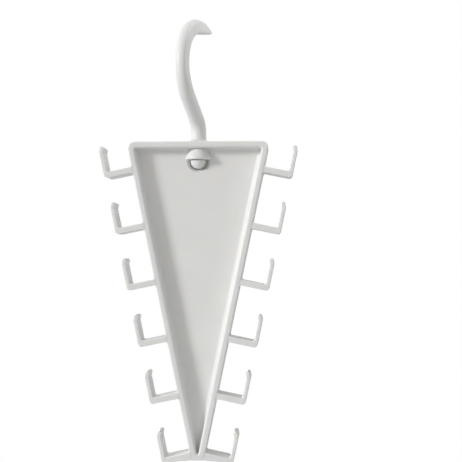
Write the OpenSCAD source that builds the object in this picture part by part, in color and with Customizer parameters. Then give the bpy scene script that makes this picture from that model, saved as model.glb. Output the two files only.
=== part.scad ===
// Tie hanger: a swivelling suspension hook snapped into a long triangular tray with twelve tie hooks.
// Millimetres. X runs to the right, Y away from the viewer, Z up. The tray's front faces -Y.
// The origin is the hook's seat, on the pivot axis, where the closet rail bears.

/* [Tray] */
// Height of the tray, from the top rail's upper face to its lower end
tray_height = 206.6; // [180:0.2:260]
// Half of the tray's width at the top rail's upper face
top_half_width = 46.9; // [40:0.1:60]
// Half of the tray's width at its lower end
end_half_width = 4; // [3.6:0.1:6]
// Depth of the tray, from its front rim to its back rim
tray_depth = 16.6; // [15:0.2:22]
// Width of the rim, seen from the front
rim_width = 3.6; // [3:0.1:4]
// Thickness of the wall that stands half way between the two rims
web_thickness = 1.6; // [1.2:0.1:2.4]
// Radius of the cove where the wall meets the rails
cove_radius = 3.4; // [2:0.1:4]
// Rounding along the edges of the rim
rim_edge_radius = 0.6; // [0.3:0.1:1]
// Radius of the tray's two upper corners
corner_radius = 4.4; // [4.3:0.1:5.5]
// Radius of the rounded lower end of the recess
recess_end_radius = 1.3; // [0.9:0.1:1.5]

/* [Tie hooks] */
// Number of tie hooks on each side
hooks_per_side = 6; // [4:1:7]
// Drop of the first tie hook's middle below the tray's upper face
first_hook_drop = 18.4; // [17:0.1:21]
// How much further down than the even pitch the lowest tie hook sits
lowest_hook_extra = 1.7; // [0:0.1:3]
// Height of each arm's flat
arm_height = 3.9; // [3:0.1:4.4]
// Free gap between the tray's side and the prong
tie_gap = 16.4; // [12:0.1:20]
// Thickness of the upright prong
prong_thickness = 2.6; // [2:0.1:3.4]
// Length of the prong, from the arm's underside to its tip
prong_length = 21.2; // [16:0.1:24]
// Radius of the bead at the prong's tip
bead_radius = 1.4; // [1:0.1:1.6]
// How far the bead stands out from the prong towards the tray
bead_lip = 1; // [0.5:0.1:1.4]
// Drop from the prong's tip to the shoulder where its outer face leans in
bead_shoulder = 3.4; // [3:0.1:4]
// Radius of the outer corner below the prong
hook_corner_radius = 2.2; // [1:0.1:2.6]
// Radius of the fillets at the arm's root and inside its corner
root_fillet = 1.1; // [0.6:0.1:1.2]
// Length of the gusset under the lowest arms, which carries the tray's lower end on into them
gusset_run = 9; // [4:0.5:12]

/* [Suspension hook] */
// Radius of the bow, measured to the middle of the rod
bow_radius = 27.6; // [24:0.1:31]
// Width of the rod in the bow's plane, also the diameter of the round shank
rod_width = 10; // [9:0.1:11]
// Thickness of the rod across its two flats
rod_thickness = 7.2; // [5:0.1:8]
// Share of the neck's length over which the flats come in
flat_share = 0.9; // [0.4:0.05:0.95]
// Height of the bow's centre above the tray's upper face
bow_centre_height = 48.2; // [46:0.1:56]
// Height of the bend above the tray's upper face
bend_height = 11.2; // [10:0.1:12]
// Radius of the bend between the shank and the slanting neck
bend_radius = 12; // [9:0.5:13]
// Slope of the beak's straight underside, in degrees
beak_slope = 12.4; // [6:0.1:16]
// How deep the beak's underside is cut into the bow's inner curve
beak_bite = 0.2; // [0.1:0.05:0.5]
// How far the beak reaches past the pivot axis
beak_reach = 17.4; // [14:0.1:19]
// Turn of the suspension hook from the tray's plane, in degrees
swivel_turn = 73; // [0:1:180]

/* [Pivot] */
// Radius of the journal that turns in the tray
journal_radius = 3.6; // [3.2:0.1:3.8]
// Radial running clearance between journal and bore
running_clearance = 0.05; // [0.02:0.01:0.08]
// Free play along the axis, above the rail and below the boss
axial_play = 0.3; // [0.3:0.05:0.5]
// Radius of the collar that rests on the top rail
collar_radius = 6.6; // [6:0.1:7.4]
// Thickness of the collar's rim
collar_rim = 0.5; // [0.4:0.1:0.8]
// Height of the boss below the top rail
boss_height = 7.9; // [7:0.1:9]
// Radius of the boss where it leaves the top rail
boss_neck_radius = 4.9; // [4.6:0.1:5.4]
// Radius of the curve down the boss's side
boss_curve_radius = 6; // [5.4:0.1:6.6]
// Bevel of the boss's lower edge
boss_edge = 0.5; // [0.3:0.1:0.6]
// Radius of the split snap head
head_radius = 5.3; // [4.9:0.1:5.5]
// Height of the straight band at the head's shoulder
head_band = 0.5; // [0.3:0.1:0.8]
// Width of the slot that lets the head close
slot_width = 3.2; // [2.6:0.1:3.6]
// Depth of the slot above the head's lowest point
slot_depth = 14; // [11:0.5:15]
// Free space round the head
head_gap = 0.8; // [0.6:0.1:1]
// Wall thickness of the half cup behind the head
cup_wall = 1.1; // [0.9:0.1:1.2]
// Width of the bevel that opens the pocket towards the front
pocket_bevel = 1.7; // [1:0.1:1.8]
// Free space below the head
head_clearance = 0.7; // [0.6:0.1:1.5]
// Radius of the pocket's lower edge
pocket_edge_radius = 5.4; // [4:0.1:5.6]

/* [Hidden] */
// Smoothness of round surfaces in the preview
$fn = 72;
// Overlap that makes a cutter pass clear of a face
past = 1;
// A cone that runs into a curve aims just inside its tangent
inside_tangent = 0.97;
half_depth = tray_depth / 2;
half_web = web_thickness / 2;
// Tilt of the tray's sides from upright, in degrees
side_tilt = atan((top_half_width - end_half_width) / tray_height);
side_length = tray_height / cos(side_tilt);

// Rod and bow
bow_inner_radius = bow_radius - rod_width / 2;
beak_level = bow_inner_radius + beak_bite;
seat_height = bow_centre_height + beak_level / cos(beak_slope);
tray_top = -seat_height;
bow_centre = tray_top + bow_centre_height;
neck_tilt = asin(bow_radius / (bow_centre_height - bend_height));
bend_reach = bend_radius * tan(neck_tilt / 2);
neck_length = (bow_centre_height - bend_height) * cos(neck_tilt) - bend_reach;
flat_run = flat_share * neck_length;
bend_start = tray_top + bend_height - bend_reach;
beak_angle = 90 + asin(beak_reach / (bow_radius + rod_width / 2));

tray_bottom = tray_top - tray_height;
// Long enough to pass any part of the tray
beyond = 2 * tray_height;
// Centre of the curve at the upper right corner, and the way out through the right-hand side
corner_level = tray_top - corner_radius;
corner_centre = [half_width(corner_level) - corner_radius / cos(side_tilt), corner_level];
outward = [cos(side_tilt), -sin(side_tilt)];

// Inner outline of the rim: half widths at the recess's top, and where its sides would meet
recess_top = tray_top - rim_width;
rim_across = rim_width / cos(side_tilt);
recess_half_width = half_width(recess_top) - rim_across;
recess_apex = recess_top - recess_half_width / tan(side_tilt);
// Centre of the circle that touches all three walls of the recess
recess_middle = recess_top - recess_half_width * tan((90 - side_tilt) / 2);
recess_end = recess_apex + recess_end_radius / sin(side_tilt);

// Pivot heights
boss_bottom = recess_top - boss_height;
boss_radius = half_depth;
bore_radius = journal_radius + running_clearance;
head_shoulder = boss_bottom - axial_play;
head_bottom = head_shoulder - head_band - head_radius;
pocket_bottom = head_bottom - head_clearance;
pocket_radius = head_radius + head_gap;
cup_radius = pocket_radius + cup_wall;
head_band_level = head_shoulder - head_band;
shank_radius = rod_width / 2;
collar_underside = tray_top + axial_play;
collar_fillet = collar_radius - shank_radius;
// the flats start this far outside the round neck, so that they come in a little above its lower end
flat_lead = 0.2;

// Tie hooks
tie_hook_depth = tray_depth - 2 * rim_edge_radius;
hook_reach = tie_gap + prong_thickness;
half_arm = arm_height / 2;
bead_drop = 2 * bead_radius + bead_lip;
// the lowest arm's fillet ends this far above the tray's lower end
end_margin = 0.1;
lowest_rise = (half_arm + root_fillet) * cos(side_tilt) + end_margin;
hook_run = tray_height - first_hook_drop - lowest_rise - lowest_hook_extra;
hook_pitch = hook_run / (hooks_per_side - 1);
prong_top = prong_length - half_arm;

left_nodes = [for (i = [1 : hooks_per_side]) str("tie_hook_left_", i)];
right_nodes = [for (i = [1 : hooks_per_side]) str("tie_hook_right_", i)];

// Half of the tray's width at height z
function half_width(z) = top_half_width + (z - tray_top) * tan(side_tilt);

// Height of the middle of tie hook i, counted from 1
function hook_level(i) =
  tray_top - first_hook_drop - (i - 1) * hook_pitch - (i == hooks_per_side ? lowest_hook_extra : 0);

// Where the tangent from point p touches the circle, on the side picked by way (1 or -1)
function tangent_point(p, centre, radius, way) =
  let(run = centre - p)
  let(bearing = atan2(run[1], run[0]))
  let(spread = asin(radius / norm(run)))
  let(reach = norm(run) * cos(spread))
  p + reach * [cos(bearing + way * spread), sin(bearing + way * spread)];

// Puts a drawing of the front view upright in the XZ plane and gives it depth
module upright(depth) {
  rotate([90, 0, 0])
    linear_extrude(height = depth, center = true)
      children();
}

// Section of a rail's rim, with its outer face at zero and the recess towards +X
module rim_section() {
  straight = tray_depth - 2 * rim_edge_radius;
  translate([0, -straight / 2])
    square([rim_width, straight]);
  translate([rim_edge_radius, -half_depth])
    square([rim_width - 2 * rim_edge_radius, tray_depth]);
  for (x = [rim_edge_radius, rim_width - rim_edge_radius])
    for (y = [-1, 1])
      translate([x, y * straight / 2])
        circle(r = rim_edge_radius);
}

// Section of a rail's foot, which narrows to the wall with a cove on both sides
module foot_section() {
  foot_half = half_web + cove_radius;
  difference() {
    translate([0, -foot_half])
      square([cove_radius, 2 * foot_half]);
    for (y = [-1, 1])
      translate([cove_radius, y * foot_half])
        circle(r = cove_radius);
  }
}

// Runs a section along the right-hand side, past both ends
module along_right_side() {
  translate([end_half_width, 0, tray_bottom])
    rotate([0, side_tilt, 0])
      translate([0, 0, -cove_radius])
        linear_extrude(height = side_length + 2 * cove_radius)
          mirror([1, 0])
            children();
}

// Runs a section across the tray's width, with its outer face up
module along_top() {
  translate([-top_half_width, 0, 0])
    rotate([0, 90, 0])
      linear_extrude(height = 2 * top_half_width)
        children();
}

// The rim's curve round the upper right corner, with the foot's start inside it
module rim_corner_right() {
  color("gainsboro")
    translate([corner_centre[0], 0, corner_centre[1]])
      rotate([90, 0, 0])
        rotate([0, 0, -side_tilt])
          rotate_extrude(angle = 90 + side_tilt)
            intersection() {
              translate([corner_radius, 0])
                mirror([1, 0]) {
                  rim_section();
                  translate([rim_width, 0])
                    foot_section();
                }
              translate([0, -tray_depth])
                square([2 * corner_radius, 2 * tray_depth]);
            }
}

module rim_corner_left() {
  mirror([1, 0, 0])
    rim_corner_right();
}

// Boss of revolution that hangs below the top rail, before it is bored
module boss_solid() {
  edge_level = boss_bottom + boss_edge;
  curve_centre = [boss_radius - boss_curve_radius, edge_level];
  neck = [boss_neck_radius, recess_top];
  cone_foot = tangent_point(neck, curve_centre, inside_tangent * boss_curve_radius, 1);
  translate([0, 0, cone_foot[1]])
    cylinder(r1 = cone_foot[0], r2 = boss_neck_radius, h = recess_top - cone_foot[1]);
  rotate_extrude() {
    intersection() {
      translate(curve_centre)
        circle(r = boss_curve_radius);
      translate([0, edge_level])
        square([boss_radius, boss_height]);
    }
    polygon([
      [0, boss_bottom],
      [boss_radius - boss_edge, boss_bottom],
      [boss_radius, edge_level],
      [0, edge_level]
    ]);
  }
}

module bore() {
  translate([0, 0, boss_bottom - past])
    cylinder(r = bore_radius, h = tray_top - boss_bottom + 2 * past);
}

// Round-bottomed solid about the pivot axis: the pocket, or the cup's outside
module cup_solid(radius, edge_radius, bottom, top) {
  rotate_extrude() {
    translate([0, bottom])
      square([radius - edge_radius, top - bottom]);
    translate([0, bottom + edge_radius])
      square([radius, top - bottom - edge_radius]);
    intersection() {
      translate([radius - edge_radius, bottom + edge_radius])
        circle(r = edge_radius);
      translate([0, bottom])
        square([radius, edge_radius]);
    }
  }
}

module cup_outside(top) {
  cup_solid(cup_radius, pocket_edge_radius + cup_wall, pocket_bottom - cup_wall, top);
}

// Cuts the bevel round the pocket's front, where the wall and the cup meet
module pocket_front() {
  front_radius = pocket_radius + pocket_bevel + past;
  back_radius = pocket_radius - head_gap / 2;
  translate([0, -half_web - past, head_band_level])
    rotate([-90, 0, 0])
      cylinder(r1 = front_radius, r2 = back_radius, h = front_radius - back_radius);
}

// Wall between the two recesses, cut clear for the boss and the cup
module web() {
  inset = cove_radius;
  top = recess_top - inset;
  half = recess_half_width - inset * tan(side_tilt) - inset / cos(side_tilt);
  color("whitesmoke")
    difference() {
      upright(web_thickness)
        polygon([[-half, top], [half, top], [0, top - half / tan(side_tilt)]]);
      boss_solid();
      // reaches up into the boss, so that no skin of the wall is left between the two
      cup_outside(boss_bottom + boss_edge);
      pocket_front();
    }
}

// Straight run of the rim along the top, with its foot mitred into the sides
module top_rail() {
  run = corner_centre[0];
  color("gainsboro")
    difference() {
      intersection() {
        union() {
          translate([0, 0, tray_top])
            along_top()
              rim_section();
          translate([0, 0, recess_top])
            along_top()
              foot_section();
        }
        upright(beyond)
          polygon([
            [-run, tray_top + past],
            [run, tray_top + past],
            corner_centre,
            [0, recess_middle],
            [-run, corner_centre[1]]
          ]);
      }
      bore();
      boss_solid();
    }
}

// Closes the rim below the recess's rounded lower end, on the right-hand side
module recess_end_fill() {
  centre = [0, recess_end];
  touch = centre + recess_end_radius * outward;
  cover = touch + rim_edge_radius * outward;
  run = (cover[1] - tray_bottom) * tan(side_tilt);
  upright(tray_depth)
    difference() {
      polygon([centre, touch, cover, [cover[0] - run, tray_bottom], [0, tray_bottom]]);
      translate(centre)
        circle(r = recess_end_radius);
    }
}

module side_rail_right() {
  inner_end = recess_half_width - (recess_top - tray_bottom) * tan(side_tilt);
  color("gainsboro") {
    intersection() {
      along_right_side()
        rim_section();
      // from the corner's curve down to the lower end, cut at the middle
      upright(beyond)
        polygon([
          [0, tray_bottom],
          [0, corner_centre[1]],
          corner_centre,
          corner_centre + (corner_radius + past) * outward,
          [end_half_width + past, tray_bottom]
        ]);
    }
    intersection() {
      translate([-rim_across, 0, 0])
        along_right_side()
          foot_section();
      upright(beyond)
        polygon([
          corner_centre + (corner_radius - rim_width) * outward,
          corner_centre,
          [0, recess_middle],
          [0, tray_bottom],
          [inner_end, tray_bottom]
        ]);
    }
    recess_end_fill();
  }
}

module side_rail_left() {
  mirror([1, 0, 0])
    side_rail_right();
}

// Bell-shaped bearing that carries the journal
module pivot_boss() {
  color("gainsboro")
    difference() {
      boss_solid();
      bore();
    }
}

// Half cup behind the snap head, open to the front
module head_cup() {
  color("gainsboro")
    difference() {
      cup_outside(boss_bottom);
      cup_solid(pocket_radius, pocket_edge_radius, pocket_bottom, boss_bottom + past);
      pocket_front();
      translate([-beyond / 2, -beyond - half_web, boss_bottom - beyond / 2])
        cube(beyond);
    }
}

// A corner filled with a concave arc, towards the quadrant given by its two signs
module fillet(x_way, y_way) {
  difference() {
    translate([min(0, x_way * root_fillet), min(0, y_way * root_fillet)])
      square(root_fillet);
    translate([x_way * root_fillet, y_way * root_fillet])
      circle(r = root_fillet);
  }
}

// Outline of a tie hook: X leaves the tray's side square, Y runs up along the side
module tie_hook_outline(lowest) {
  round_end = hook_reach - hook_corner_radius;
  corner_height = hook_corner_radius - half_arm;
  bead_centre = [tie_gap - bead_lip + bead_radius, prong_top - bead_radius];
  shoulder = [hook_reach, prong_top - bead_shoulder];
  throat = [tie_gap, prong_top - bead_drop];
  translate([0, -half_arm])
    square([round_end, arm_height]);
  translate([round_end, corner_height])
    circle(r = hook_corner_radius);
  polygon([
    [tie_gap, corner_height],
    [hook_reach, corner_height],
    shoulder,
    tangent_point(shoulder, bead_centre, bead_radius, -1),
    bead_centre,
    tangent_point(throat, bead_centre, bead_radius, 1),
    throat
  ]);
  translate(bead_centre)
    circle(r = bead_radius);
  translate([tie_gap, half_arm])
    fillet(-1, 1);
  translate([0, half_arm])
    fillet(1, 1);
  if (lowest)
    polygon([[0, -half_arm], [0, -half_arm - root_fillet], [gusset_run, -half_arm]]);
  else
    translate([0, -half_arm])
      fillet(1, -1);
}

module tie_hook_right(i) {
  level = hook_level(i);
  color("white")
    translate([half_width(level), 0, level])
      rotate([0, side_tilt, 0])
        upright(tie_hook_depth)
          tie_hook_outline(i == hooks_per_side);
}

module tie_hook_left(i) {
  mirror([1, 0, 0])
    tie_hook_right(i);
}

// Section of the rod once its flats are full
module rod_section() {
  intersection() {
    circle(d = rod_width);
    square([rod_width, rod_thickness], center = true);
  }
}

// Turns the suspension hook from the tray's plane to where it stands
module swivelled() {
  rotate([0, 0, 180 + swivel_turn])
    children();
}

// Round bend from the upright shank into the slanting neck, leaning towards +X
module hook_bend() {
  color("white")
    swivelled()
      translate([bend_radius, 0, bend_start])
        rotate([90, 0, 0])
          rotate([0, 0, 180 - neck_tilt])
            rotate_extrude(angle = neck_tilt)
              translate([bend_radius, 0])
                circle(r = shank_radius);
}

// Slanting neck, over which the round rod takes on its flats
module hook_neck() {
  half_flat = rod_thickness / 2;
  color("white")
    swivelled()
      translate([bend_radius, 0, bend_start])
        rotate([0, neck_tilt, 0])
          translate([-bend_radius, 0, 0])
            intersection() {
              cylinder(r = shank_radius, h = neck_length);
              rotate([90, 0, 90])
                linear_extrude(height = 2 * rod_width, center = true)
                  polygon([
                    [-shank_radius - flat_lead, 0],
                    [shank_radius + flat_lead, 0],
                    [half_flat, flat_run],
                    [half_flat, neck_length + past],
                    [-half_flat, neck_length + past],
                    [-half_flat, flat_run]
                  ]);
            }
}

// Round bow and its beak
module hook_bow() {
  beak_cut = 2 * bow_radius;
  color("white")
    swivelled()
      difference() {
        translate([0, 0, bow_centre])
          rotate([90, 0, 0])
            rotate([0, 0, -neck_tilt])
              rotate_extrude(angle = neck_tilt + beak_angle)
                translate([bow_radius, 0])
                  rod_section();
        // the straight underside runs out of the bow's inner curve just inside its tangent
        translate([0, 0, bow_centre])
          rotate([0, beak_slope, 0])
            translate([-beak_cut, -rod_width, beak_level - beak_cut])
              cube([beak_cut + rod_width / 2, 2 * rod_width, beak_cut]);
        // the nose is trimmed upright
        translate([-beak_reach - beak_cut, -rod_width, bow_centre])
          cube([beak_cut, 2 * rod_width, beak_cut]);
      }
}

// Slot square to the bow's plane, which lets the head's two halves close
module head_slot() {
  translate([-slot_width / 2, -2 * head_radius, head_bottom - past])
    cube([slot_width, 4 * head_radius, slot_depth + past]);
}

// Collar and round shank
module pivot_shank() {
  color("white")
    swivelled()
      rotate_extrude() {
        translate([0, collar_underside])
          square([shank_radius, bend_start - collar_underside]);
        difference() {
          translate([0, collar_underside])
            square([collar_radius, collar_rim + collar_fillet]);
          translate([collar_radius, collar_underside + collar_rim + collar_fillet])
            circle(r = collar_fillet);
        }
      }
}

// Journal with the split head that snaps through the bore and carries the tray
module snap_pin() {
  color("white")
    swivelled()
      difference() {
        rotate_extrude() {
          translate([0, head_band_level])
            square([journal_radius, collar_underside - head_band_level]);
          translate([0, head_band_level])
            square([head_radius, head_band]);
          intersection() {
            translate([0, head_band_level])
              circle(r = head_radius);
            translate([0, head_bottom])
              square(head_radius);
          }
        }
        head_slot();
      }
}

web();
top_rail();
rim_corner_left();
rim_corner_right();
side_rail_left();
side_rail_right();
pivot_boss();
head_cup();
for (i = [1 : hooks_per_side]) {
  tie_hook_left(i);
  tie_hook_right(i);
}
hook_bow();
hook_neck();
hook_bend();
pivot_shank();
snap_pin();
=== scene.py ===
"""Tie hanger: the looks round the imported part.

The part's sizes are in millimetres and turn into metres in place(). Lamps, floor and camera are in metres.
"""

import math

import bmesh
import bpy
from mathutils import Matrix, Vector


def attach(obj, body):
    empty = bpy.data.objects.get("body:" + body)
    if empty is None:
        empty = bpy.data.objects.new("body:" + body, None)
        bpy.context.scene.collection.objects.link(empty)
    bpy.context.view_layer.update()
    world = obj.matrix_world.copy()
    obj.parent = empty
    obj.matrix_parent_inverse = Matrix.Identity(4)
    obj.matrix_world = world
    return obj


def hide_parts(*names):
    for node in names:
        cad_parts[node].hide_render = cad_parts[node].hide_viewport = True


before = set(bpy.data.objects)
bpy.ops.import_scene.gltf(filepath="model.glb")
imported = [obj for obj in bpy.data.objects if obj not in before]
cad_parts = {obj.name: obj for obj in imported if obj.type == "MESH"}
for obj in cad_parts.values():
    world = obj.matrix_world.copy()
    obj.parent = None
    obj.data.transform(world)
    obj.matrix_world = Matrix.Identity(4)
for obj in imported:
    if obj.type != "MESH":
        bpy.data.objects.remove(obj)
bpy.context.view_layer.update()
MM = 0.001

# Tray
TRAY_HEIGHT = 206.6
TOP_HALF_WIDTH = 46.9
END_HALF_WIDTH = 4.0
TRAY_DEPTH = 16.6
RIM_WIDTH = 3.6
BROW_REACH = 0.7
BROW_DEPTH = 1.8
WEB_THICKNESS = 1.6
COVE_RADIUS = 3.4
RIM_ROUNDING = 0.75
OUTER_CORNER = 4.4
INNER_CORNER = 2.0
END_CORNER = 0.8
RECESS_END_RADIUS = 1.3
WEB_RUN = 0.35
# a ring further in than this follows the recess, and one before it the outer outline
RECESS_START = 1.5
# smallest radii to which the corners of a ring shrink on the way in
LEAST_CORNER = 0.3
LEAST_END_CORNER = 0.05
LEAST_RECESS_END = 0.12
# how far a cutting solid reaches past what it cuts
CUT_PAST = 2

# Tie hooks
HOOKS_PER_SIDE = 6
FIRST_HOOK_DROP = 18.4
LOWEST_HOOK_EXTRA = 1.7
ARM_HEIGHT = 3.9
TIE_GAP = 16.4
PRONG_THICKNESS = 2.6
PRONG_LENGTH = 21.2
BEAD_RADIUS = 1.4
BEAD_LIP = 1.0
BEAD_SHOULDER = 3.4
HOOK_CORNER = 2.2
ROOT_FILLET = 1.1
GUSSET_RUN = 9.0
HOOK_ROUNDING = 0.5
HOOK_DEPTH = 16.5
ROOT_SINK = 1.4

# Suspension hook
BOW_RADIUS = 27.6
ROD_WIDTH = 10.0
ROD_THICKNESS = 6.9
NECK_THICKNESS = 9.2
BOW_CENTRE_HEIGHT = 48.2
BEND_HEIGHT = 11.2
BEND_RADIUS = 12.0
BEAK_SLOPE = math.radians(12.4)
BEAK_BITE = 0.2
BEAK_REACH = 17.2
SWIVEL_TURN = math.radians(73)
FLAT_SHARPNESS = 9
COLLAR_EDGE = 0.2
TIP_WIDTH = 0.5

# Pivot
AXIAL_PLAY = 0.3
COLLAR_RADIUS = 6.6
COLLAR_RIM = 0.5
BOSS_HEIGHT = 7.9
BOSS_NECK = 4.9
BOSS_CURVE = 6.0
BOSS_EDGE = 0.5
BOSS_FILLET = 0.9
BORE_RADIUS = 3.65
JOURNAL_RADIUS = 3.6
HEAD_RADIUS = 5.3
HEAD_BAND = 0.5
SLOT_WIDTH = 3.2
SLOT_DEPTH = 14.0
POCKET_RADIUS = 6.1
POCKET_BEVEL = 1.7
CUP_WALL = 1.1
CUP_SINK = 1.2
POCKET_EDGE = 5.4
HEAD_CLEARANCE = 0.7
HEAD_EDGE = 0.25
BEVEL_EDGE = 0.3

# Derived
HALF_DEPTH = TRAY_DEPTH / 2
HALF_WEB = WEB_THICKNESS / 2
TILT = math.atan((TOP_HALF_WIDTH - END_HALF_WIDTH) / TRAY_HEIGHT)
BOW_INNER = BOW_RADIUS - ROD_WIDTH / 2
BOW_OUTER = BOW_RADIUS + ROD_WIDTH / 2
BEAK_LEVEL = BOW_INNER + BEAK_BITE
TOP = -(BOW_CENTRE_HEIGHT + BEAK_LEVEL / math.cos(BEAK_SLOPE))
BOTTOM = TOP - TRAY_HEIGHT
BOW_CENTRE = TOP + BOW_CENTRE_HEIGHT
NECK_TILT = math.asin(BOW_RADIUS / (BOW_CENTRE_HEIGHT - BEND_HEIGHT))
BEND_REACH = BEND_RADIUS * math.tan(NECK_TILT / 2)
BEND_START = TOP + BEND_HEIGHT - BEND_REACH
NECK_LENGTH = (BOW_CENTRE_HEIGHT - BEND_HEIGHT) * math.cos(NECK_TILT) - BEND_REACH
BEAK_ANGLE = math.pi / 2 + math.asin(BEAK_REACH / BOW_OUTER)
RECESS_TOP = TOP - RIM_WIDTH
BOSS_BOTTOM = RECESS_TOP - BOSS_HEIGHT
HEAD_SHOULDER = BOSS_BOTTOM - AXIAL_PLAY
HEAD_LEVEL = HEAD_SHOULDER - HEAD_BAND
HEAD_BOTTOM = HEAD_LEVEL - HEAD_RADIUS
POCKET_BOTTOM = HEAD_BOTTOM - HEAD_CLEARANCE
COLLAR_UNDERSIDE = TOP + AXIAL_PLAY
LOWEST_RISE = (ARM_HEIGHT / 2 + ROOT_FILLET) * math.cos(TILT) + 0.1
HOOK_PITCH = (TRAY_HEIGHT - FIRST_HOOK_DROP - LOWEST_RISE - LOWEST_HOOK_EXTRA) / (HOOKS_PER_SIDE - 1)


def half_width(z):
    """Half the tray's width at a level."""
    return TOP_HALF_WIDTH + (z - TOP) * math.tan(TILT)


def arc(centre, radius, start, end, count):
    """Points along an arc, both ends included; angles in radians."""
    return [
        (centre[0] + radius * math.cos(a), centre[1] + radius * math.sin(a))
        for a in (start + (end - start) * i / (count - 1) for i in range(count))
    ]


def place(name, verts, faces, spin=None):
    """A mesh object from points in millimetres, turned about the pivot axis by spin."""
    mesh = bpy.data.meshes.new(name)
    turn = Matrix.Rotation(spin, 3, "Z") if spin else Matrix.Identity(3)
    mesh.from_pydata([turn @ Vector(v) * MM for v in verts], [], faces)
    obj = bpy.data.objects.new(name, mesh)
    bpy.context.scene.collection.objects.link(obj)
    bm = bmesh.new()
    bm.from_mesh(mesh)
    bmesh.ops.remove_doubles(bm, verts=bm.verts, dist=1e-7)
    bmesh.ops.recalc_face_normals(bm, faces=bm.faces)
    bm.to_mesh(mesh)
    bm.free()
    mesh.shade_smooth()
    return obj


def loft(rings):
    """Verts and faces of a closed tube through rings with the same number of points each."""
    n = len(rings[0])
    verts = [p for ring in rings for p in ring]
    faces = []
    for r in range(len(rings) - 1):
        for i in range(n):
            j = (i + 1) % n
            faces.append((r * n + i, r * n + j, (r + 1) * n + j, (r + 1) * n + i))
    faces.append(tuple(range(n))[::-1])
    last = (len(rings) - 1) * n
    faces.append(tuple(last + i for i in range(n)))
    return verts, faces


def revolve(profile, count=64):
    """Closed solid of revolution about Z from (radius, z) points that start and end on the axis."""
    turns = [2 * math.pi * i / count for i in range(count)]
    return loft([[(r * math.cos(a), r * math.sin(a), z) for a in turns] for r, z in profile[1:-1]])


def combine(obj, tool, operation):
    """Cuts the tool from obj, or joins it on, and removes the tool."""
    mod = obj.modifiers.new("combine", "BOOLEAN")
    mod.operation = operation
    mod.solver = "EXACT"
    mod.object = tool
    graph = bpy.context.evaluated_depsgraph_get()
    mesh = bpy.data.meshes.new_from_object(obj.evaluated_get(graph))
    obj.modifiers.remove(mod)
    obj.data = mesh
    bpy.data.objects.remove(tool)


def crisp(obj, angle=35):
    """Smooth shading that keeps edges sharper than the angle, with flat faces kept flat."""
    obj.data.shade_smooth()
    obj.data.set_sharp_from_angle(angle=math.radians(angle))
    mod = obj.modifiers.new("normals", "WEIGHTED_NORMAL")
    mod.keep_sharp = True
    mod.weight = 100


# Tray shell

SIDE_POINTS = 10
CORNER_POINTS = 9
END_POINTS = 17


def side_offset(d):
    """x of the right-hand side, moved inwards by d, is half_width(z) less this."""
    return d / math.cos(TILT)


def corner_radius_at(d):
    """Radius of the upper corners on the ring that lies d inside the outline."""
    if d < RECESS_START:
        return OUTER_CORNER - d
    return max(INNER_CORNER + RIM_WIDTH - d, LEAST_CORNER)


def lower_end(d):
    """Points round the lower end of a ring, from the right-hand side to the left."""
    if d < RECESS_START:
        # flat lower end with two rounded corners
        r = max(END_CORNER - d, LEAST_END_CORNER)
        z = BOTTOM + d
        cz = z + r
        cx = half_width(cz) - side_offset(d) - r / math.cos(TILT)
        half = (END_POINTS - 1) // 2
        right = arc((cx, cz), r, -TILT, -math.pi / 2, half)
        left = [(-x, y) for x, y in reversed(right)]
        return right + [(0.0, z)] + left
    apex_z = TOP - (TOP_HALF_WIDTH - side_offset(d)) / math.tan(TILT)
    r = max(RECESS_END_RADIUS + RIM_WIDTH - d, LEAST_RECESS_END)
    return arc((0.0, apex_z + r / math.sin(TILT)), r, -TILT, -math.pi + TILT, END_POINTS)


def tray_ring(d, y):
    """One closed ring of the tray's shell, d inside the outline, at depth y."""
    r = corner_radius_at(d)
    cz = TOP - d - r
    cx = half_width(cz) - side_offset(d) - r / math.cos(TILT)
    right = arc((cx, cz), r, math.pi / 2, -TILT, CORNER_POINTS)
    left = [(-x, z) for x, z in reversed(right)]
    end = lower_end(d)
    down = [
        tuple(a + (b - a) * i / SIDE_POINTS for a, b in zip(right[-1], end[0]))
        for i in range(1, SIDE_POINTS)
    ]
    up = [(-x, z) for x, z in reversed(down)]
    return [(x, y, z) for x, z in right + down + end + up + left]


def front_profile():
    """(inset, depth) pairs from the middle of the outer face round the rim to the wall."""
    e = RIM_ROUNDING
    out = [(0.0, 0.0)]
    out += [(e - x, HALF_DEPTH - e + y) for x, y in arc((0, 0), e, 0, math.pi / 2, 6)]
    out += [
        (RIM_WIDTH - e + x * (e + BROW_REACH), HALF_DEPTH - BROW_DEPTH + y * BROW_DEPTH)
        for x, y in arc((0, 0), 1, math.pi / 2, 0, 9)
    ]
    foot = RIM_WIDTH + COVE_RADIUS
    cove = [
        (foot + x * (COVE_RADIUS - BROW_REACH), HALF_WEB + COVE_RADIUS + y * COVE_RADIUS)
        for x, y in arc((0, 0), 1, math.pi, 1.5 * math.pi, 12)
    ]
    return out + cove + [(foot + WEB_RUN, HALF_WEB)]


def make_tray():
    """The whole tray apart from its tie hooks: shell, cup, boss and bore."""
    profile = front_profile()
    rings = [tray_ring(d, -y) for d, y in reversed(profile)]
    rings += [tray_ring(d, y) for d, y in profile[1:]]
    tray = place("tray_moulding", *loft(rings))
    add_cup(tray)
    boss = place("boss", *revolve(boss_profile()))
    combine(tray, boss, "UNION")
    side = [(BORE_RADIUS, BOSS_BOTTOM - CUT_PAST), (BORE_RADIUS, TOP + CUT_PAST)]
    bore = place("bore", *revolve([(0, 0)] + side + [(0, 0)]))
    combine(tray, bore, "DIFFERENCE")
    crisp(tray)
    return tray


def tangent(point, centre, radius, way):
    """Where the tangent from a point touches a circle."""
    dx, dy = centre[0] - point[0], centre[1] - point[1]
    run = math.hypot(dx, dy)
    angle = math.atan2(dy, dx) + way * math.asin(radius / run)
    reach = math.sqrt(run * run - radius * radius)
    return (point[0] + reach * math.cos(angle), point[1] + reach * math.sin(angle))


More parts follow.
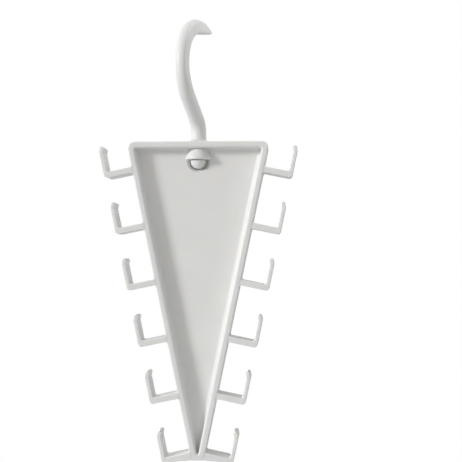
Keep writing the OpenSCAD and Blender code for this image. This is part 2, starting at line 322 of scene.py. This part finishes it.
def boss_profile():
    """Outline of the boss, sunk a little into the rail above it, with a small fillet there."""
    edge = BOSS_BOTTOM + BOSS_EDGE
    centre = (HALF_DEPTH - BOSS_CURVE, edge)
    neck = (BOSS_NECK, RECESS_TOP)
    touch = tangent(neck, centre, BOSS_CURVE, 1)
    start = math.atan2(touch[1] - centre[1], touch[0] - centre[0])
    side = arc(centre, BOSS_CURVE, start, 0, 12)
    bottom = arc((HALF_DEPTH - BOSS_EDGE, edge), BOSS_EDGE, 0, -math.pi / 2, 6)
    fillet = [(BOSS_NECK + BOSS_FILLET, RECESS_TOP + 0.02), (BOSS_NECK + 0.35, RECESS_TOP - 0.25)]
    root = (BOSS_NECK + BOSS_FILLET, RECESS_TOP + 1.0)
    return [(0, 0), root] + fillet + side + bottom[1:] + [(0, 0)]


def cup_profile(radius, edge, bottom, top):
    """Outline of a cup with a rounded bottom edge."""
    foot = arc((radius - edge, bottom + edge), edge, 0, -math.pi / 2, 12)
    return [(0, 0), (radius, top)] + foot + [(0, 0)]


def add_cup(tray):
    """Hollow half cup behind the snap head, open to the front."""
    radius = POCKET_RADIUS + CUP_WALL
    rounding = POCKET_EDGE + CUP_WALL
    outline = cup_profile(radius, rounding, POCKET_BOTTOM - CUP_WALL, BOSS_BOTTOM + CUP_SINK)
    outside = place("cup_outside", *revolve(outline))
    # only the half behind the web's middle is kept
    behind = slab_box((-20, 0, BOSS_BOTTOM - 30), (20, 20, BOSS_BOTTOM + 5))
    combine(outside, place("cup_keep", *behind), "INTERSECT")
    combine(tray, outside, "UNION")
    hollow = cup_profile(POCKET_RADIUS, POCKET_EDGE, POCKET_BOTTOM, BOSS_BOTTOM)
    combine(tray, place("pocket", *revolve(hollow)), "DIFFERENCE")
    # bevel that opens the pocket's front, with a soft outer edge
    edge = POCKET_RADIUS + POCKET_BEVEL
    bevel = [(0, 0), (edge + 0.9, -HALF_WEB - 1), (edge + 0.45, -HALF_WEB - 0.03)]
    bevel += [(edge + 0.12, -HALF_WEB + 0.06), (edge - BEVEL_EDGE, -HALF_WEB + BEVEL_EDGE + 0.06)]
    bevel += [(POCKET_RADIUS - 0.4, HALF_WEB + 0.5), (0, 0)]
    verts, faces = revolve([(r, -y) for r, y in bevel], 96)
    cone = place("bevel", [(x, -z, HEAD_LEVEL + y) for x, y, z in verts], faces)
    combine(tray, cone, "DIFFERENCE")


def slab_box(low, high):
    """A plain box between two corners."""
    x0, y0, z0 = low
    x1, y1, z1 = high
    rings = [[(x0, y0, z), (x1, y0, z), (x1, y1, z), (x0, y1, z)] for z in (z0, z1)]
    return loft(rings)


# Tie hooks

# Underside of the gusset, as shares of its run and of the root fillet's height
GUSSET = ((0.0, 1.0), (0.2, 0.86), (0.4, 0.66), (0.6, 0.42), (0.8, 0.2), (1.0, 0.05))


def tie_hook_outline(lowest):
    """Outline of a tie hook, anticlockwise: x leaves the tray's side square, y runs up along it."""
    a = ARM_HEIGHT / 2
    f = ROOT_FILLET
    reach = TIE_GAP + PRONG_THICKNESS
    top = PRONG_LENGTH - a
    bead = (TIE_GAP - BEAD_LIP + BEAD_RADIUS, top - BEAD_RADIUS)
    shoulder = (reach, top - BEAD_SHOULDER)
    throat = (TIE_GAP, top - 2 * BEAD_RADIUS - BEAD_LIP)
    right = tangent(shoulder, bead, BEAD_RADIUS, -1)
    left = tangent(throat, bead, BEAD_RADIUS, 1)
    start = math.atan2(right[1] - bead[1], right[0] - bead[0])
    end = math.atan2(left[1] - bead[1], left[0] - bead[0])
    if end < start:
        end += 2 * math.pi
    out = [(-ROOT_SINK, -a - f)]
    if lowest:
        # a long gusset carries the tray's lower end on into the arm
        out += [(GUSSET_RUN * x, -a - f * y) for x, y in GUSSET]
    else:
        out += arc((f, -a - f), f, math.pi, math.pi / 2, 6)
    out += [(TIE_GAP * i / 8, -a) for i in (5, 6, 7)]
    out += arc((reach - HOOK_CORNER, -a + HOOK_CORNER), HOOK_CORNER, -math.pi / 2, 0, 9)
    out += [(reach, a + (shoulder[1] - a) * i / 3) for i in (1, 2)]
    # the shoulder leans in softly
    out += [(reach, shoulder[1] - 0.5), (reach - 0.06, shoulder[1] + 0.25)]
    out += arc(bead, BEAD_RADIUS, start, end, 12)
    out += [(TIE_GAP - 0.1, throat[1] + 0.3), (TIE_GAP, throat[1] - 0.4)]
    out += [(TIE_GAP, a + f + (throat[1] - a - f) * i / 3) for i in (2, 1)]
    out += arc((TIE_GAP - f, a + f), f, 0, -math.pi / 2, 6)
    out += [(TIE_GAP * i / 4, a) for i in (3, 2, 1)]
    out += arc((f, a + f), f, -math.pi / 2, -math.pi, 6)
    out += [(-ROOT_SINK, a + f)]
    return out


def inset(outline, amount):
    """The outline moved inwards by a small amount along its own normals."""
    n = len(outline)
    out = []
    for i, (x, y) in enumerate(outline):
        px, py = outline[i - 1]
        nx, ny = outline[(i + 1) % n]
        e1 = Vector((x - px, y - py)).normalized()
        e2 = Vector((nx - x, ny - y)).normalized()
        n1, n2 = Vector((-e1.y, e1.x)), Vector((-e2.y, e2.x))
        m = n1 + n2
        m *= amount / max(1e-6, 1 + n1.dot(n2))
        out.append((x + m.x, y + m.y))
    return out


def make_tie_hook(side, index):
    """One tie hook with rounded edges; index 1 is the highest of its side."""
    lowest = index == HOOKS_PER_SIDE
    extra = LOWEST_HOOK_EXTRA if lowest else 0
    level = TOP - FIRST_HOOK_DROP - (index - 1) * HOOK_PITCH - extra
    sign = -1 if side == "left" else 1
    half = HOOK_DEPTH / 2
    outline = tie_hook_outline(lowest)
    rings = []
    steps = [math.pi / 2 * i / 3 for i in range(4)]
    for face in (-1, 1):
        part = []
        for a in steps:
            ring = inset(outline, HOOK_ROUNDING * (1 - math.cos(a)))
            y = face * (half - HOOK_ROUNDING * (1 - math.sin(a)))
            part.append([(s, y, t) for s, t in ring])
        rings += part[::-1] if face < 0 else part
    placed = []
    for ring in rings:
        row = []
        for s, y, t in ring:
            x = half_width(level) + s * math.cos(TILT) + t * math.sin(TILT)
            z = level - s * math.sin(TILT) + t * math.cos(TILT)
            row.append((sign * x, y, z))
        placed.append(row)
    hook = place(f"tie_hook_{side}_{index}.look", *loft(placed))
    crisp(hook, 40)
    return hook


# Suspension hook

SECTION_POINTS = 56


def rod_section(width, thickness):
    """Flat-sided round section: x spans the given width up to the outer edge, y the thickness."""
    r = ROD_WIDTH / 2
    flat = thickness / 2
    out = []
    for i in range(SECTION_POINTS):
        a = 2 * math.pi * i / SECTION_POINTS
        x, y = r * math.cos(a), r * math.sin(a)
        if flat < r - 1e-6:
            y = y * (1 + (abs(y) / flat) ** FLAT_SHARPNESS) ** (-1 / FLAT_SHARPNESS)
        out.append((r - (r - x) * width / ROD_WIDTH, y))
    return out


def station(u, z, lean, width=ROD_WIDTH, thickness=ROD_WIDTH):
    """Ring of the rod at (u, z): its outward side points along the angle lean in the bow's plane."""
    return [
        (u + x * math.cos(lean), y, z + x * math.sin(lean))
        for x, y in rod_section(width, thickness)
    ]


def ease(t):
    """Smooth step from 0 to 1."""
    t = min(1, max(0, t))
    return t * t * (3 - 2 * t)


def make_swivel_hook():
    """Collar, shank, bend, neck, bow and beak in one run of rings."""
    rings = []
    fillet = COLLAR_RADIUS - ROD_WIDTH / 2
    rim = COLLAR_UNDERSIDE + COLLAR_RIM
    collar = [(COLLAR_RADIUS - COLLAR_EDGE, COLLAR_UNDERSIDE)]
    collar += [(COLLAR_RADIUS, COLLAR_UNDERSIDE + COLLAR_EDGE)]
    collar += [(COLLAR_RADIUS, rim - 0.1), (COLLAR_RADIUS - 0.08, rim)]
    collar += arc((COLLAR_RADIUS, rim + fillet), fillet, -math.pi / 2 - 0.25, -math.pi, 9)
    for r, z in collar:
        scale = 2 * r / ROD_WIDTH
        rings.append([(x * scale, y * scale, z) for x, y in rod_section(ROD_WIDTH, ROD_WIDTH)])
    low = rim + fillet
    for i in range(1, 4):
        rings.append(station(0, low + (BEND_START - low) * i / 3, 0))
    for i in range(1, 13):
        a = NECK_TILT * i / 12
        u = BEND_RADIUS - BEND_RADIUS * math.cos(a)
        z = BEND_START + BEND_RADIUS * math.sin(a)
        rings.append(station(u, z, -a))
    u0 = BEND_RADIUS - BEND_RADIUS * math.cos(NECK_TILT)
    z0 = BEND_START + BEND_RADIUS * math.sin(NECK_TILT)
    for i in range(1, 11):
        run = NECK_LENGTH * i / 10
        u = u0 + run * math.sin(NECK_TILT)
        z = z0 + run * math.cos(NECK_TILT)
        thickness = ROD_WIDTH + (NECK_THICKNESS - ROD_WIDTH) * ease(i / 10)
        rings.append(station(u, z, -NECK_TILT, thickness=thickness))
    # round the bow, then out along the beak, whose straight underside thins the rod
    beak_turn = math.pi / 2 - BEAK_SLOPE
    count = 64
    for i in range(1, count + 1):
        a = -NECK_TILT + (NECK_TILT + BEAK_ANGLE) * i / count
        inner = BOW_INNER
        if a > beak_turn - 0.2:
            inner = max(BOW_INNER, BEAK_LEVEL / math.cos(a - beak_turn))
        width = max(BOW_OUTER - inner, TIP_WIDTH)
        thickness = NECK_THICKNESS + (ROD_THICKNESS - NECK_THICKNESS) * ease((a + NECK_TILT) / NECK_TILT)
        # the beak narrows sideways towards its tip as well
        thickness = min(thickness, 1.6 * math.sqrt(width * 8))
        u = (BOW_OUTER - ROD_WIDTH / 2) * math.cos(a)
        z = BOW_CENTRE + (BOW_OUTER - ROD_WIDTH / 2) * math.sin(a)
        rings.append(station(u, z, a, width=width, thickness=thickness))
    hook = place("swivel_hook.look", *loft(rings), spin=math.pi + SWIVEL_TURN)
    crisp(hook, 50)
    return hook


def make_snap_pin():
    """Journal and round snap head, split by a slot."""
    profile = [(0, 0), (JOURNAL_RADIUS, COLLAR_UNDERSIDE), (JOURNAL_RADIUS, HEAD_SHOULDER)]
    profile += arc((HEAD_RADIUS - HEAD_EDGE, HEAD_SHOULDER - HEAD_EDGE), HEAD_EDGE, math.pi / 2, 0, 4)
    profile += arc((0, HEAD_LEVEL), HEAD_RADIUS, 0, -math.pi / 2 + 0.06, 16)
    profile += [(0, 0)]
    pin = place("snap_pin.look", *revolve(profile), spin=math.pi + SWIVEL_TURN)
    half = SLOT_WIDTH / 2
    gap = slab_box((-half, -12, HEAD_BOTTOM - CUT_PAST), (half, 12, HEAD_BOTTOM + SLOT_DEPTH))
    slot = place("slot", *gap, spin=math.pi + SWIVEL_TURN)
    combine(pin, slot, "DIFFERENCE")
    crisp(pin)
    return pin


# Materials


def plastic(name, colour, speck_seed):
    """Satin injection-moulded plastic: faint mottling, uneven gloss, fine grain and a few scuffs."""
    mat = bpy.data.materials.new(name)
    mat.use_nodes = True
    nodes, links = mat.node_tree.nodes, mat.node_tree.links
    shader = nodes["Principled BSDF"]
    shader.inputs["IOR"].default_value = 1.49
    shader.inputs["Specular IOR Level"].default_value = 0.3
    shader.subsurface_method = "RANDOM_WALK"
    shader.inputs["Subsurface Weight"].default_value = 1.0
    shader.inputs["Subsurface Radius"].default_value = (1.0, 0.95, 0.85)
    shader.inputs["Subsurface Scale"].default_value = 0.0012
    coords = nodes.new("ShaderNodeTexCoord")

    def noise(scale, detail, offset=0.0, stretch=(1, 1, 1)):
        mapping = nodes.new("ShaderNodeMapping")
        mapping.inputs["Location"].default_value = (offset + speck_seed, offset, 0)
        mapping.inputs["Scale"].default_value = stretch
        links.new(coords.outputs["Object"], mapping.inputs["Vector"])
        tex = nodes.new("ShaderNodeTexNoise")
        tex.inputs["Scale"].default_value = scale
        tex.inputs["Detail"].default_value = detail
        links.new(mapping.outputs["Vector"], tex.inputs["Vector"])
        return tex.outputs["Fac"]

    def spread(value, low, high, to_low, to_high):
        node = nodes.new("ShaderNodeMapRange")
        node.inputs["From Min"].default_value = low
        node.inputs["From Max"].default_value = high
        node.inputs["To Min"].default_value = to_low
        node.inputs["To Max"].default_value = to_high
        links.new(value, node.inputs["Value"])
        return node.outputs["Result"]

    def tint(value, dark, light):
        node = nodes.new("ShaderNodeMix")
        node.data_type = "RGBA"
        node.inputs["A"].default_value = (*dark, 1)
        node.inputs["B"].default_value = (*light, 1)
        links.new(value, node.inputs["Factor"])
        return node.outputs["Result"]

    # cloudy mottling of the colour
    cloud = spread(noise(28, 3), 0.3, 0.7, 0, 1)
    light = tuple(min(1, c * 1.012) for c in colour)
    dark = tuple(c * 0.975 for c in colour)
    links.new(tint(cloud, dark, light), shader.inputs["Base Color"])
    # gloss drops along faint flow lines and on scuffed spots
    gloss = nodes.new("ShaderNodeMath")
    gloss.operation = "ADD"
    links.new(spread(noise(60, 4, 3.0, (1, 1, 0.25)), 0.35, 0.65, 0.36, 0.44), gloss.inputs[0])
    links.new(spread(noise(210, 2, 7.0), 0.62, 0.72, 0.0, 0.12), gloss.inputs[1])
    links.new(gloss.outputs["Value"], shader.inputs["Roughness"])
    # fine grain of the mould, over a slow unevenness
    grain = nodes.new("ShaderNodeBump")
    grain.inputs["Strength"].default_value = 0.05
    grain.inputs["Distance"].default_value = 0.0002
    links.new(noise(2600, 2, 1.0), grain.inputs["Height"])
    wave = nodes.new("ShaderNodeBump")
    wave.inputs["Strength"].default_value = 0.12
    wave.inputs["Distance"].default_value = 0.0006
    links.new(noise(70, 1, 5.0), wave.inputs["Height"])
    links.new(grain.outputs["Normal"], wave.inputs["Normal"])
    links.new(wave.outputs["Normal"], shader.inputs["Normal"])
    return mat


PLASTIC_COLOUR = (0.80, 0.80, 0.79)
tray_plastic = plastic("tray_plastic", PLASTIC_COLOUR, 0.0)
hook_plastic = plastic("hook_plastic", PLASTIC_COLOUR, 11.0)


def dress(obj, body, slot, material, *nodes):
    """Gives a piece its material, its body and the solids that it replaces; slot is not used."""
    obj.data.materials.clear()
    obj.data.materials.append(material)
    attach(obj, body)
    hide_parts(*nodes)


dress(
    make_tray(), "tray", "hanger_tray", tray_plastic,
    "web", "top_rail", "rim_corner_left", "rim_corner_right",
    "side_rail_left", "side_rail_right", "pivot_boss", "head_cup",
)
for side in ("left", "right"):
    for index in range(1, HOOKS_PER_SIDE + 1):
        hook = make_tie_hook(side, index)
        dress(hook, "tray", "hanger_tray", tray_plastic, f"tie_hook_{side}_{index}")
dress(
    make_swivel_hook(), "suspension_hook", "swivel_hook", hook_plastic,
    "hook_bow", "hook_neck", "hook_bend", "pivot_shank",
)
dress(make_snap_pin(), "suspension_hook", "swivel_hook", hook_plastic, "snap_pin")

# Light: a soft lamp from the left, a little above, a weak one from behind, a small panel for the
# beak, and an even pale surround
KEY_AZIMUTH = math.radians(60.5)
KEY_ELEVATION = math.radians(16)
KEY_STRENGTH = 2.02
KEY_SOFTNESS = math.radians(14)
BACK_AZIMUTH = math.radians(168)
BACK_ELEVATION = 0.0
BACK_STRENGTH = 0.5
BACK_SOFTNESS = math.radians(4)
SURROUND = 0.505
PANEL_POWER = 0.1
PANEL_SIZE = 0.08
PANEL_PLACE = Vector((0.10, 0.03, 0.10))

world = bpy.data.worlds.new("surround")
bpy.context.scene.world = world
world.use_nodes = True
nodes, links = world.node_tree.nodes, world.node_tree.links
nodes.clear()
path = nodes.new("ShaderNodeLightPath")
even = nodes.new("ShaderNodeBackground")
even.inputs["Color"].default_value = (SURROUND, SURROUND, SURROUND, 1)
white = nodes.new("ShaderNodeBackground")
white.inputs["Color"].default_value = (1, 1, 1, 1)
mix = nodes.new("ShaderNodeMixShader")
output = nodes.new("ShaderNodeOutputWorld")
links.new(path.outputs["Is Camera Ray"], mix.inputs["Fac"])
links.new(even.outputs["Background"], mix.inputs[1])
links.new(white.outputs["Background"], mix.inputs[2])
links.new(mix.outputs["Shader"], output.inputs["Surface"])


def add_sun(name, azimuth, elevation, strength, softness):
    """A sun lamp; azimuth runs from the front towards the left."""
    sun = bpy.data.objects.new(name, bpy.data.lights.new(name, "SUN"))
    sun.data.energy = strength
    sun.data.angle = softness
    flat = math.cos(elevation)
    towards = Vector((-math.sin(azimuth) * flat, -math.cos(azimuth) * flat, math.sin(elevation)))
    sun.rotation_euler = towards.to_track_quat("Z", "Y").to_euler()
    bpy.context.scene.collection.objects.link(sun)


add_sun("key", KEY_AZIMUTH, KEY_ELEVATION, KEY_STRENGTH, KEY_SOFTNESS)
add_sun("back", BACK_AZIMUTH, BACK_ELEVATION, BACK_STRENGTH, BACK_SOFTNESS)

# the panel stands above, to the right and a little behind, and faces the origin, under the beak
panel = bpy.data.objects.new("panel", bpy.data.lights.new("panel", "AREA"))
panel.data.shape = "DISK"
panel.data.size = PANEL_SIZE
panel.data.energy = PANEL_POWER
panel.location = PANEL_PLACE
panel.rotation_euler = PANEL_PLACE.to_track_quat("Z", "Y").to_euler()
bpy.context.scene.collection.objects.link(panel)

# Floor: pale and plain, well below the hanger; the camera sees it lifted to white, with the shadow kept
FLOOR_LEVEL = -1.0
FLOOR_RADIUS = 1.5
FLOOR_SIDES = 96
FLOOR_LIFT = 0.45
FLOOR_COLOUR = (0.88, 0.88, 0.87, 1)
floor_mesh = bpy.data.meshes.new("floor")
floor_turns = [2 * math.pi * i / FLOOR_SIDES for i in range(FLOOR_SIDES)]
floor_verts = [(FLOOR_RADIUS * math.cos(a), FLOOR_RADIUS * math.sin(a), FLOOR_LEVEL) for a in floor_turns]
floor_mesh.from_pydata(floor_verts, [], [list(range(FLOOR_SIDES))])
floor = bpy.data.objects.new("floor", floor_mesh)
bpy.context.scene.collection.objects.link(floor)
pale = bpy.data.materials.new("pale floor")
pale.use_nodes = True
nodes, links = pale.node_tree.nodes, pale.node_tree.links
nodes.clear()
path = nodes.new("ShaderNodeLightPath")
matt = nodes.new("ShaderNodeBsdfDiffuse")
matt.inputs["Color"].default_value = FLOOR_COLOUR
lift = nodes.new("ShaderNodeEmission")
seen = nodes.new("ShaderNodeMath")
seen.operation = "MULTIPLY"
seen.inputs[1].default_value = FLOOR_LIFT
add = nodes.new("ShaderNodeAddShader")
output = nodes.new("ShaderNodeOutputMaterial")
links.new(path.outputs["Is Camera Ray"], seen.inputs[0])
links.new(seen.outputs["Value"], lift.inputs["Strength"])
links.new(matt.outputs["BSDF"], add.inputs[0])
links.new(lift.outputs["Emission"], add.inputs[1])
links.new(add.outputs["Shader"], output.inputs["Surface"])
floor_mesh.materials.append(pale)

# Camera: in front and to the right of the hanger, turned back to it and slightly upward (radians)
PICTURE_SIZE = 462
FOCAL_PIXELS = 976.5
CAMERA_TURN = 0.0561
CAMERA_RISE = 0.0314
CAMERA_PLACE = (0.0572, -0.6393, (TOP - 78.46) * MM)
camera = bpy.data.objects.new("camera", bpy.data.cameras.new("camera"))
camera.data.sensor_fit = "HORIZONTAL"
camera.data.angle = 2 * math.atan(PICTURE_SIZE / 2 / FOCAL_PIXELS)
camera.location = CAMERA_PLACE
camera.rotation_euler = (math.pi / 2 + CAMERA_RISE, 0, CAMERA_TURN)
camera.data.clip_start = 0.01
bpy.context.scene.collection.objects.link(camera)
bpy.context.scene.camera = camera
bpy.context.scene.view_settings.view_transform = "Standard"
